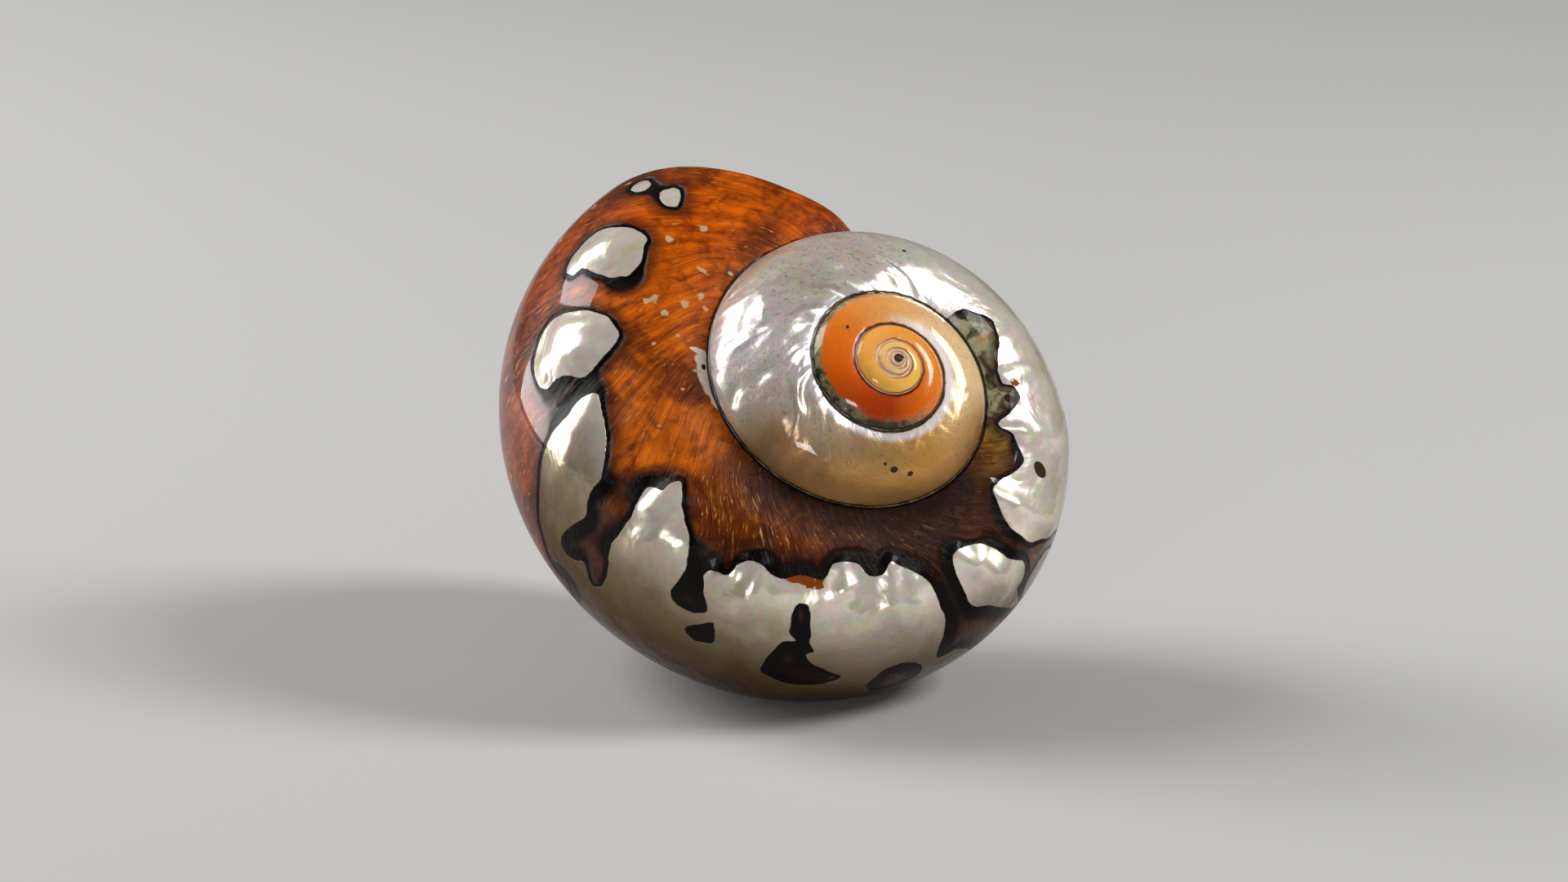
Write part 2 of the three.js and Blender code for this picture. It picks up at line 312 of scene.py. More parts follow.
BELT_SLOT = [
    (-128.8, 65.8), (-131.3, 66.4), (-132.8, 62.7), (-133.8, 57.3), (-135, 53.5), (-135.2, 49.6),
    (-137.5, 45.4), (-135.6, 44.2), (-137, 39.6), (-142, 35), (-146, 31), (-142, 24), (-136, 22),
    (-129, 27), (-128.8, 38), (-129.4, 42.7), (-129.7, 48), (-133, 49.2), (-130.3, 52.7),
    (-129.7, 56.5), (-128.8, 61.2),
]
BELT_PATCH_OF_SKIN = [
    (-115.4, 45.8), (-117, 41.2), (-118.3, 34.2), (-114.7, 30.8), (-112, 33.5), (-112, 36.5),
    (-114, 41.2),
]
BELT_RIGHT_NOTCH = [(-152, 22), (-154, 34), (-158, 37), (-163, 33), (-165, 22), (-162, 12), (-155, 12)]
BACK_PATCH = [
    (-170, 79), (-170.3, 82.7), (-172.5, 83.8), (-177, 82.7), (-181.3, 80.4), (-185, 74.2),
    (-187.3, 67.3), (-190, 62.7), (-192.3, 59.6), (-193.3, 54.2), (-192.7, 47.3), (-190, 45.4),
    (-190.7, 39.6), (-192.7, 28), (-190, 30), (-187.5, 35.8), (-185, 41), (-182, 47.3),
    (-179.4, 52), (-175, 55.4), (-173.4, 59.6), (-172.5, 65), (-171, 72),
]
CRESCENT = [
    (-194.3, 41), (-199.3, 44), (-203.3, 43.8), (-206, 38), (-207.3, 33.5), (-210, 25), (-212, 12),
    (-205, 14), (-199, 22), (-193, 30),
]
BACK_BAND = [
    (-212.7, 35), (-210, 42.7), (-208, 47.3), (-204.7, 51), (-201.3, 56.5), (-197.3, 61),
    (-195, 69), (-193, 75), (-192.7, 82), (-193.3, 88), (-194, 93.5), (-195.7, 94.8),
    (-200.7, 93.5), (-204.7, 91.2), (-209.3, 88), (-214, 86.5), (-216, 89.6), (-218, 93),
    (-220, 95.8), (-220.3, 99.6), (-220, 102.7), (-221.7, 104.2), (-224.7, 102.7), (-228, 99.2),
    (-231.3, 96.2), (-234, 93.8), (-238, 91), (-242, 94), (-242, 100.4), (-244.7, 101.3),
    (-248.7, 101.3), (-252.7, 99.2), (-256.7, 97), (-260.7, 93.5), (-264.7, 91.2), (-268.7, 89),
    (-271.3, 87.3), (-274.7, 89.6), (-278, 93.8), (-282.7, 97.3), (-284, 103), (-286, 125),
    (-430, 140), (-430, -24), (-405, 6), (-388, -14), (-366, 8), (-346, -10), (-324, 9),
    (-306, -12), (-286, 5), (-270, -14), (-252, 2), (-238, -8), (-228, 8), (-219, 20),
]
PEARL_OUTLINES = [SMALL_DOT, UPPER_DOT, TOP_PATCH, TOOTH_PATCH, BELT, BACK_PATCH, CRESCENT, BACK_BAND]
SKIN_IN_PEARL = [BELT_SLOT, BELT_PATCH_OF_SKIN, BELT_RIGHT_NOTCH]

# Places where the skin is burnt dark: (turn, place, half length, half width) in degrees.
DARK_SPOTS = [
    (-64, 108.5, 0.9, 1.2), (-53, 105, 1.2, 0.8), (-236, 98, 2, 3), (-244, 97, 1.5, 4),
    (-276, 88, 2.5, 2), (-281, 101, 3, 4), (-136, 30, 8, 9), (-7, 61, 1.6, 2.5),
]

# Pits and pinholes: (turn, place, half length, half width) in degrees.
PITS = [
    (-510, 78, 2.6, 3.2), (-519.5, 73, 2.0, 2.6), (-504.5, 82.5, 1.3, 1.7), (-215.5, 75.8, 2.8, 5.4),
    (-316, 76, 1.2, 1.6), (-738, 89, 2.6, 3.0),
]


# The outline's corners rounded off by cutting each one twice.
def rounded_outline(points):
    outline = np.array(points, float) * (ALONG_TURN, ALONG_PLACE)
    for _ in range(2):
        after = np.roll(outline, -1, axis=0)
        cut = np.empty((2 * len(outline), 2))
        cut[0::2] = 0.83 * outline + 0.17 * after
        cut[1::2] = 0.17 * outline + 0.83 * after
        outline = cut
    return outline


# Millimetres from an outline: above zero inside it, never under -FAR.
def inside_outline(points, turn, place):
    outline = rounded_outline(points)
    x = turn * ALONG_TURN
    y = place * ALONG_PLACE
    low = outline.min(0) - FAR
    high = outline.max(0) + FAR
    near = (x > low[0]) & (x < high[0]) & (y > low[1]) & (y < high[1])
    result = np.full(turn.shape, -FAR)
    px = x[near]
    py = y[near]
    least = np.full(px.shape, FAR * FAR)
    within = np.zeros(px.shape, bool)
    for (ax, ay), (bx, by) in zip(outline, np.roll(outline, -1, axis=0)):
        run = (bx - ax) ** 2 + (by - ay) ** 2
        t = np.clip(((px - ax) * (bx - ax) + (py - ay) * (by - ay)) / run, 0, 1)
        away = (px - ax - t * (bx - ax)) ** 2 + (py - ay - t * (by - ay)) ** 2
        least = np.minimum(least, away)
        if ay != by:
            crossing = ax + (py - ay) * (bx - ax) / (by - ay)
            within ^= ((ay > py) != (by > py)) & (px < crossing)
    distance = np.sqrt(least)
    result[near] = np.where(within, distance, -distance)
    return result


# Millimetres inside the mother-of-pearl: the ground patches less the skin left within them.
def pearl_depth(turn, place):
    depth = np.full(turn.shape, -FAR)
    for outline in PEARL_OUTLINES:
        depth = np.maximum(depth, inside_outline(outline, turn, place))
    for outline in SKIN_IN_PEARL:
        depth = np.minimum(depth, -inside_outline(outline, turn, place))
    return np.where(turn < BARE_TURN, FAR, depth)


def spot_sum(spots, turn, place):
    total = np.zeros_like(turn)
    for spot_turn, spot_place, long, wide in spots:
        along = (turn - spot_turn) / long
        across = (place - spot_place) / wide
        total += np.exp(-((along**2 + across**2) ** 1.5))
    return np.minimum(total, 1)


# ---- Meshes -----------------------------------------------------------------------------------
def spaced(stops):
    runs = [np.array([stops[0][0]], float)]
    for (start, _), (end, step) in zip(stops, stops[1:]):
        count = max(1, round(abs(end - start) / step))
        runs.append(np.linspace(start, end, count + 1)[1:])
    return np.concatenate(runs)


def grid_faces(rows, columns, facing_out=False):
    corner = np.arange(rows * columns).reshape(rows, columns)
    quads = [corner[:-1, :-1], corner[1:, :-1], corner[1:, 1:], corner[:-1, 1:]]
    if facing_out:
        quads.reverse()
    return np.stack([q.ravel() for q in quads], -1)


def surface_normals(point_at, turn, place):
    step = 0.05
    along = point_at(turn + step, place) - point_at(turn - step, place)
    across = point_at(turn, place + step) - point_at(turn, place - step)
    normal = np.cross(across, along)
    return normal / np.maximum(np.linalg.norm(normal, axis=-1, keepdims=True), 1e-12)


def drop_unused(points, faces):
    used = np.zeros(len(points), bool)
    used[faces.ravel()] = True
    new_index = np.cumsum(used) - 1
    return used, new_index[faces]


# A mesh piece from points in millimetres in the coil's frame, with a value for every point.
def make_piece(name, points, normals, faces, values, material):
    used, faces = drop_unused(points, faces)
    laid = lay_down(points[used])
    facing = normals[used] @ LAID.T
    floor_side = laid[:, 2] < 0
    laid[floor_side, 2] = 0
    facing[floor_side] = (0, 0, -1)
    mesh = bpy.data.meshes.new(name)
    mesh.from_pydata((laid * MM).tolist(), [], faces.tolist())
    for value_name, value in values.items():
        attribute = mesh.attributes.new(value_name, "FLOAT", "POINT")
        attribute.data.foreach_set("value", value[used].astype(np.float32))
    mesh.polygons.foreach_set("use_smooth", np.ones(len(mesh.polygons), bool))
    mesh.materials.append(material)
    mesh.update()
    mesh.normals_split_custom_set_from_vertices(facing.tolist())
    piece = bpy.data.objects.new(name, mesh)
    bpy.context.scene.collection.objects.link(piece)
    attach(piece, "root")
    return piece


def outer_values(turn, growth, place, points):
    return {
        "turn": turn,
        "growth": growth,
        "place": place,
        "pearl_depth": pearl_depth(turn, place),
        "dark": spot_sum(DARK_SPOTS, turn, place),
        "wide_edge": spot_sum(WIDE_EDGES, turn, place),
        "rust": spot_sum(RUST, turn, place),
        "fleck": spot_sum(FLECKS, turn, place),
        "scuff": spot_sum(SCUFFS, turn, place),
        "pit": np.maximum(spot_sum(PITS, turn, place), 1 - smooth_step(-2080, -2000, turn)),
        "clear_of_older": clear_of_whorl(points, turn, -1),
        "clear_of_newer": clear_of_lip(points, turn, place),
    }


# How far a point lies outside the newer whorl, which ends at the lip in a gently waved edge.
def clear_of_lip(points, turn, place):
    past_lip = turn + 354 + 3 * np.sin(np.radians(place * 4)) + 2 * np.sin(np.radians(place * 9 + 40))
    return np.clip(np.maximum(clear_of_whorl(points, turn, 1), past_lip * 0.3), -9, 9)


# A stretch of the outer wall. Faces buried in the whorl inside or outside it are left out,
# except the inner side of the mouth, which shows from behind.
def outer_wall(name, growths, places, material):
    growth, place = np.meshgrid(growths, places, indexing="ij")
    turn = growth + round_table(LIP_SWEEP, place)
    points = outer_point(turn, place)
    normals = surface_normals(outer_point, turn, place)
    values = outer_values(turn, growth, place, points)
    dent = np.minimum(1, values["pit"])[..., None]
    points = points - PIT_DEPTH * dent * normals * whorl_scale(turn)[..., None]
    under_newer = (values["clear_of_newer"] < -BURIED) & (growth <= MOUTH_GROWTH)
    buried = (values["clear_of_older"] < -BURIED) | under_newer
    faces = grid_faces(*growth.shape, facing_out=True)
    faces = faces[~buried.ravel()[faces].all(1)]
    flat = {key: value.ravel() for key, value in values.items()}
    return make_piece(name, points.reshape(-1, 3), normals.reshape(-1, 3), faces, flat, material)


def inner_point(turn, place, inset):
    return coil_point(turn, place, -inset, drawn=False)


def wall_thickness(growth):
    return WALL - (WALL - LIP_EDGE) * smooth_step(-LIP_BEVEL_TURN, 0, growth)


# The rounded edge of the lip, as rings from the hollow's last ring out to the outer wall's.
def lip_rings(edge_turn, places, inner_edge, count=12):
    outer_edge = outer_point(edge_turn, places)
    middle = (outer_edge + inner_edge) / 2
    half = (outer_edge - inner_edge) / 2
    ahead = outer_point(edge_turn + 1, places) - outer_edge
    ahead = ahead / np.linalg.norm(ahead, axis=-1, keepdims=True)
    leaning = (ahead * half).sum(-1, keepdims=True) / (half * half).sum(-1, keepdims=True)
    ahead = ahead - leaning * half
    radius = np.linalg.norm(half, axis=-1, keepdims=True)
    bulge = 0.6 * np.minimum(radius, 1.2) + 0.08 * np.maximum(radius - 1.2, 0)
    rings = []
    facings = []
    for swell in np.radians(np.linspace(-90, 90, count + 1)[1:]):
        s, c = math.sin(swell), math.cos(swell)
        rings.append(middle + half * s + bulge * ahead * c)
        facing = half / radius * bulge * s + ahead * radius * c
        facings.append(facing / np.linalg.norm(facing, axis=-1, keepdims=True))
    return np.stack(rings), np.stack(facings)


# The hollow's wall, seen through the mouth, and the rounded edge of the lip in one sheet.
def hollow_and_lip(name, material):
    growths = spaced([(-230, 0), (-120, 2.4), (-24, 1.6), (0, 0.9)])
    places = spaced([(-180, 0), (180, 1.8)])
    growth, place = np.meshgrid(growths, places, indexing="ij")
    turn = growth + round_table(LIP_SWEEP, place)
    inset = wall_thickness(growth)
    points = inner_point(turn, place, inset)
    normals = -surface_normals(lambda t, p: inner_point(t, p, inset), turn, place)
    edge_turn = round_table(LIP_SWEEP, places)
    rings, facings = lip_rings(edge_turn, places, points[-1])
    extra = len(rings)
    points = np.concatenate([points, rings])
    normals = np.concatenate([normals, facings])
    turn = np.concatenate([turn, np.repeat(edge_turn[None], extra, 0)])
    place = np.concatenate([place, np.repeat(places[None], extra, 0)])
    # growth runs on past the lip, from 0.5 to 1 across its rounded edge
    edge = np.concatenate([growths, 0.5 + 0.5 * np.arange(1, extra + 1) / extra])
    growth = np.repeat(edge[:, None], len(places), 1)
    clear = clear_of_whorl(points, turn, -1)
    faces = grid_faces(*growth.shape)
    faces = faces[~(clear < -BURIED_HOLLOW).ravel()[faces].all(1)]
    values = {"turn": turn, "growth": growth, "place": place, "clear_of_older": clear}
    flat = {key: value.ravel() for key, value in values.items()}
    return make_piece(name, points.reshape(-1, 3), normals.reshape(-1, 3), faces, flat, material)


# The pillar round the axis, which shows deep in the mouth.
def pillar(name, material):
    profile = [
        (0.02, -42.2), (0.8, -42), (1.4, -41.5), (1.8, -40.6), (2.0, -39), (2.1, -37), (2.0, -34),
        (1.4, -24), (0.84, -14),
    ]
    heights = np.array([p[1] for p in profile])
    radii = np.array([p[0] for p in profile])
    up = heights[0] + (heights[-1] - heights[0]) * np.linspace(0, 1, 90) ** 1.6
    radius = np.interp(up, heights, radii)
    angles = np.linspace(0, 360, 49)
    angle, level = np.meshgrid(np.radians(angles), up, indexing="ij")
    twist = 1 + 0.05 * np.cos(angle * 2 + level * 0.25)
    wide = radius[None] * twist
    points = np.stack([wide * np.cos(angle), wide * np.sin(angle), level], -1)
    normals = np.stack([np.cos(angle), np.sin(angle), 0 * level], -1)
    faces = grid_faces(*angle.shape)
    values = {
        "turn": -np.degrees(angle),
        "growth": np.full(angle.shape, -60.0),
        "place": level * 2,
        "clear_of_older": np.full(angle.shape, 5.0),
    }
    flat = {key: value.ravel() for key, value in values.items()}
    return make_piece(name, points.reshape(-1, 3), normals.reshape(-1, 3), faces, flat, material)


# ---- Node helpers -----------------------------------------------------------------------------
def add_node(tree, kind, **settings):
    node = tree.nodes.new(kind)
    for setting, value in settings.items():
        setattr(node, setting, value)
    return node


def join(tree, source, target):
    if isinstance(source, (int, float)):
        target.default_value = source
    elif isinstance(source, tuple):
        target.default_value = (*source, 1) if len(target.default_value) == 4 else source
    else:
        tree.links.new(source, target)


def maths(tree, operation, a, b=0.0, clamp=False):
    node = add_node(tree, "ShaderNodeMath", operation=operation, use_clamp=clamp)
    join(tree, a, node.inputs[0])
    join(tree, b, node.inputs[1])
    return node.outputs[0]


def product(tree, *values):
    result = values[0]
    for value in values[1:]:
        result = maths(tree, "MULTIPLY", result, value)
    return result


# What is left of one when the value is taken off it.
def rest_of(tree, value):
    return maths(tree, "SUBTRACT", 1.0, value)


# A noise moved to swing about zero, by half of size each way.
def swing(tree, value, size):
    return maths(tree, "MULTIPLY", maths(tree, "SUBTRACT", value, 0.5), size)


# A soft switch: 0 below low and 1 above high.
def fade(tree, value, low, high):
    node = add_node(tree, "ShaderNodeMapRange", interpolation_type="SMOOTHSTEP", clamp=True)
    join(tree, value, node.inputs["Value"])
    node.inputs["From Min"].default_value = low
    node.inputs["From Max"].default_value = high
    return node.outputs["Result"]


# The same switch turned over: 1 below low and 0 above high.
def fall(tree, value, low, high):
    return rest_of(tree, fade(tree, value, low, high))


def blend(tree, amount, a, b, how="MIX"):
    node = add_node(tree, "ShaderNodeMix", data_type="RGBA", blend_type=how, clamp_factor=True)
    join(tree, amount, node.inputs[0])
    join(tree, a, node.inputs[6])
    join(tree, b, node.inputs[7])
    return node.outputs[2]


def attribute(tree, name):
    return add_node(tree, "ShaderNodeAttribute", attribute_name=name).outputs["Fac"]


def ramp(tree, value, stops):
    node = add_node(tree, "ShaderNodeValToRGB")
    elements = node.color_ramp.elements
    elements[0].position = stops[0][0]
    elements[0].color = (*stops[0][1], 1)
    elements[1].position = stops[-1][0]
    elements[1].color = (*stops[-1][1], 1)
    for position, colour in stops[1:-1]:
        elements.new(position).color = (*colour, 1)
    join(tree, value, node.inputs[0])
    return node.outputs[0]


# A ramp whose stops are given in the value's own units.
def ramp_over(tree, value, stops):
    low, high = stops[0][0], stops[-1][0]
    node = add_node(tree, "ShaderNodeMapRange", clamp=True)
    join(tree, value, node.inputs["Value"])
    node.inputs["From Min"].default_value = low
    node.inputs["From Max"].default_value = high
    return ramp(tree, node.outputs["Result"], [((at - low) / (high - low), c) for at, c in stops])


def noise(tree, where, scale, detail=3.0, rough=0.55, twist=0.0):
    node = add_node(tree, "ShaderNodeTexNoise")
    join(tree, where, node.inputs["Vector"])
    node.inputs["Scale"].default_value = scale
    node.inputs["Detail"].default_value = detail
    node.inputs["Roughness"].default_value = rough
    node.inputs["Distortion"].default_value = twist
    return node.outputs["Fac"]


def vector(tree, x, y, z=0.0):
    node = add_node(tree, "ShaderNodeCombineXYZ")
    join(tree, x, node.inputs[0])
    join(tree, y, node.inputs[1])
    join(tree, z, node.inputs[2])
    return node.outputs[0]


def new_group(name, inputs, outputs):
    group = bpy.data.node_groups.new(name, "ShaderNodeTree")
    for socket_name, kind, value in inputs:
        socket = group.interface.new_socket(socket_name, in_out="INPUT", socket_type=kind)
        if value is not None:
            socket.default_value = value
    for socket_name, kind in outputs:
        group.interface.new_socket(socket_name, in_out="OUTPUT", socket_type=kind)
    enter = group.nodes.new("NodeGroupInput")
    leave = group.nodes.new("NodeGroupOutput")
    return group, enter, leave


def use_group(tree, group, **inputs):
    node = add_node(tree, "ShaderNodeGroup")
    node.node_tree = group
    for name, value in inputs.items():
        join(tree, value, node.inputs[name.replace("_", " ")])
    return node


# ---- Shared effects -----------------------------------------------------------------------------
# Mother-of-pearl: a silver ground with faint pink, green and gold clouds, and soft waves.
def make_pearl_group():
    group, enter, leave = new_group(
        "pearl_lustre",
        [
            ("Where", "NodeSocketVector", None),
            ("Growth", "NodeSocketFloat", 0.0),
            ("Ground", "NodeSocketColor", (0.6, 0.55, 0.46, 1)),
            ("Tint Strength", "NodeSocketFloat", 1.0),
        ],
        [("Colour", "NodeSocketColor"), ("Wave", "NodeSocketFloat"), ("Clouds", "NodeSocketFloat")],
    )
    where = enter.outputs["Where"]
    broad = noise(group, where, 95, 3, 0.6, 0.8)
    fine = noise(group, where, 420, 4, 0.6, 0.5)
    wave_place = vector(group, maths(group, "MULTIPLY", enter.outputs["Growth"], 0.16), fine)
    lines = noise(group, wave_place, 3.2, 2, 0.5)
    tint = ramp(
        group,
        maths(group, "ADD", noise(group, where, 140, 3, 0.6, 1.6), swing(group, fine, 0.35)),
        [
            (0.28, (1.0, 0.84, 0.66)), (0.37, (0.82, 1.0, 0.80)), (0.43, (1.0, 0.99, 0.93)),
            (0.49, (1.0, 0.80, 0.92)), (0.55, (0.84, 0.90, 1.0)), (0.60, (0.86, 1.0, 0.86)),
            (0.68, (1.0, 0.92, 0.76)),
        ],
    )
    strength = maths(group, "MULTIPLY", enter.outputs["Tint Strength"], 0.70)
    tint = blend(group, strength, (1, 1, 1), tint)
    colour = blend(group, 1.0, enter.outputs["Ground"], tint, "MULTIPLY")
    shade = ramp(group, fine, [(0.25, (0.80, 0.79, 0.77)), (0.6, (1, 1, 1))])
    colour = blend(group, 0.5, colour, shade, "MULTIPLY")
    swell = noise(group, where, 210, 1.5, 0.5, 0.6)
    wave = maths(group, "ADD", product(group, broad, 0.8), product(group, swell, 0.55))
    wave = maths(group, "ADD", wave, maths(group, "MULTIPLY", lines, 0.05))
    join(group, colour, leave.inputs["Colour"])
    join(group, wave, leave.inputs["Wave"])
    join(group, fine, leave.inputs["Clouds"])
    return group


# Fibres and growth lines of the outer skin: streaks that run with the growth lines.
def make_fibre_group():
    group, enter, leave = new_group(
        "skin_fibres",
        [
            ("Growth", "NodeSocketFloat", 0.0),
            ("Place", "NodeSocketFloat", 0.0),
            ("Where", "NodeSocketVector", None),
        ],
        [
            ("Streaks", "NodeSocketFloat"),
            ("Threads", "NodeSocketFloat"),
            ("Scratches", "NodeSocketFloat"),
            ("Patches", "NodeSocketFloat"),
        ],
    )
    growth, place = enter.outputs["Growth"], enter.outputs["Place"]
    sway = swing(group, noise(group, enter.outputs["Where"], 60, 2), 9)
    bent = maths(group, "ADD", growth, sway)
    coarse = vector(group, maths(group, "MULTIPLY", bent, 0.24), maths(group, "MULTIPLY", place, 0.030))
    thin = vector(group, maths(group, "MULTIPLY", bent, 1.1), maths(group, "MULTIPLY", place, 0.085))
    short = vector(group, maths(group, "MULTIPLY", bent, 1.25), maths(group, "MULTIPLY", place, 0.26))
    streaks = noise(group, coarse, 1.6, 5, 0.65, 0.4)
    threads = noise(group, thin, 1.5, 4, 0.7, 0.3)
    scratches = noise(group, short, 0.9, 2, 0.6, 0.7)
    patches = noise(group, enter.outputs["Where"], 70, 4, 0.62, 0.6)
    join(group, streaks, leave.inputs["Streaks"])
    join(group, threads, leave.inputs["Threads"])
    join(group, scratches, leave.inputs["Scratches"])
    join(group, patches, leave.inputs["Patches"])
    return group


# A cut edge between two layers, from the distance to it in millimetres.
def make_edge_group():
    group, enter, leave = new_group(
        "cut_edge",
        [
            ("Depth", "NodeSocketFloat", 0.0),
            ("Where", "NodeSocketVector", None),
            ("Ragged", "NodeSocketFloat", 0.5),
            ("Rim Width", "NodeSocketFloat", 1.0),
        ],
        [("Inside", "NodeSocketFloat"), ("Rim", "NodeSocketFloat"), ("Halo", "NodeSocketFloat")],
    )
    wobble = swing(group, noise(group, enter.outputs["Where"], 620, 4, 0.6), 1.0)
    ragged = maths(group, "MULTIPLY", wobble, enter.outputs["Ragged"])
    depth = maths(group, "ADD", enter.outputs["Depth"], ragged)
    inside = fade(group, depth, -0.05, 0.07)
    outward = maths(group, "MULTIPLY", depth, -1.0)
    spread = maths(group, "DIVIDE", outward, enter.outputs["Rim Width"])
    rim = fall(group, spread, 0.55, 1.35)
    halo = fall(group, spread, 0.9, 4.6)
    join(group, inside, leave.inputs["Inside"])
    join(group, rim, leave.inputs["Rim"])
    join(group, halo, leave.inputs["Halo"])
    return group


PEARL = make_pearl_group()
FIBRES = make_fibre_group()
EDGE = make_edge_group()


def new_material(name):
    material = bpy.data.materials.new(name)
    material.use_nodes = True
    tree = material.node_tree
    shader = next(node for node in tree.nodes if node.type == "BSDF_PRINCIPLED")
    return material, tree, shader


# ---- Finishes -----------------------------------------------------------------------------------
# Colour of the skin along the last whorl, from the back to the lip.
SKIN_ALONG = [
    (-290, (0.36, 0.30, 0.17)), (-262, (0.30, 0.26, 0.14)), (-238, (0.24, 0.22, 0.10)),
    (-221, (0.26, 0.17, 0.030)), (-205, (0.30, 0.13, 0.008)), (-188, (0.10, 0.020, 0.001)),
    (-165, (0.050, 0.010, 0.001)), (-135, (0.15, 0.032, 0.001)), (-112, (0.44, 0.095, 0.002)),
    (-90, (0.66, 0.135, 0.002)), (-50, (0.58, 0.112, 0.002)), (0, (0.60, 0.100, 0.001)),
]
# And on its lower half, toward the base.
SKIN_BELOW = [
    (-420, (0.30, 0.060, 0.002)), (-260, (0.36, 0.075, 0.002)), (-170, (0.16, 0.026, 0.001)),
    (-100, (0.14, 0.022, 0.001)), (-60, (0.26, 0.040, 0.001)), (0, (0.34, 0.052, 0.001)),
]
# Colour of the pearl in the ground patches, from the base up to the shoulder: an olive-gold tone with
# painted shade, near black toward the base and light toward the shoulder.
PEARL_UP_WITH_PAINTED_SHADE = [
    (-14, (0.036, 0.010, 0.002)), (6, (0.055, 0.022, 0.004)), (22, (0.105, 0.060, 0.016)),
    (38, (0.21, 0.155, 0.080)), (54, (0.49, 0.42, 0.31)), (70, (0.94, 0.86, 0.73)),
]
# Weathered skin by the back seam, from its dark spots to its pale ones.
WEATHERED = [
    (0.36, (0.014, 0.011, 0.006)), (0.45, (0.11, 0.10, 0.045)), (0.53, (0.30, 0.29, 0.17)),
    (0.60, (0.36, 0.33, 0.20)), (0.68, (0.42, 0.24, 0.06)),
]
# Colour of the ground whorls of the spire, from the apex to the last whorl's back.
SPIRE_ALONG = [
    (-1700, (0.92, 0.66, 0.34)), (-1350, (0.93, 0.56, 0.10)), (-1190, (0.93, 0.46, 0.07)),
    (-1080, (0.92, 0.40, 0.08)), (-980, (0.86, 0.28, 0.03)), (-905, (0.72, 0.14, 0.004)),
    (-862, (0.40, 0.035, 0.001)),
    (-830, (0.46, 0.045, 0.001)), (-785, (0.74, 0.115, 0.001)), (-740, (0.80, 0.19, 0.01)),
    (-690, (0.80, 0.36, 0.10)), (-640, (0.80, 0.54, 0.28)), (-580, (0.76, 0.54, 0.29)),
    (-530, (0.60, 0.30, 0.07)), (-490, (0.58, 0.37, 0.15)), (-450, (0.72, 0.62, 0.47)),
    (-405, (0.95, 0.88, 0.88)), (-370, (0.76, 0.70, 0.56)), (-340, (0.84, 0.75, 0.64)),
    (-310, (0.96, 0.91, 0.80)), (-285, (0.96, 0.91, 0.79)),
]


# What the outer wall's finish reads at each point: its values, and the noises laid over them.
def wall_readings(tree):
    names = [
        "turn", "growth", "place", "pearl_depth", "dark", "wide_edge", "rust", "fleck", "scuff",
        "pit", "clear_of_older", "clear_of_newer",
    ]
    at = {name: attribute(tree, name) for name in names}
    where = add_node(tree, "ShaderNodeTexCoord").outputs["Object"]
    at["where"] = where
    at["blotch"] = noise(tree, where, 330, 4, 0.65, 0.8)
    at["grit"] = noise(tree, where, 1100, 2, 0.6)
    fibres = use_group(tree, FIBRES, Growth=at["growth"], Place=at["place"], Where=where)
    for output in fibres.outputs:
        at[output.name] = output
    wide = maths(tree, "ADD", 0.8, maths(tree, "MULTIPLY", at["wide_edge"], 2.3))
    edge = use_group(tree, EDGE, Depth=at["pearl_depth"], Where=where, Ragged=0.55, Rim_Width=wide)
    for output in edge.outputs:
        at[output.name] = output
    return at


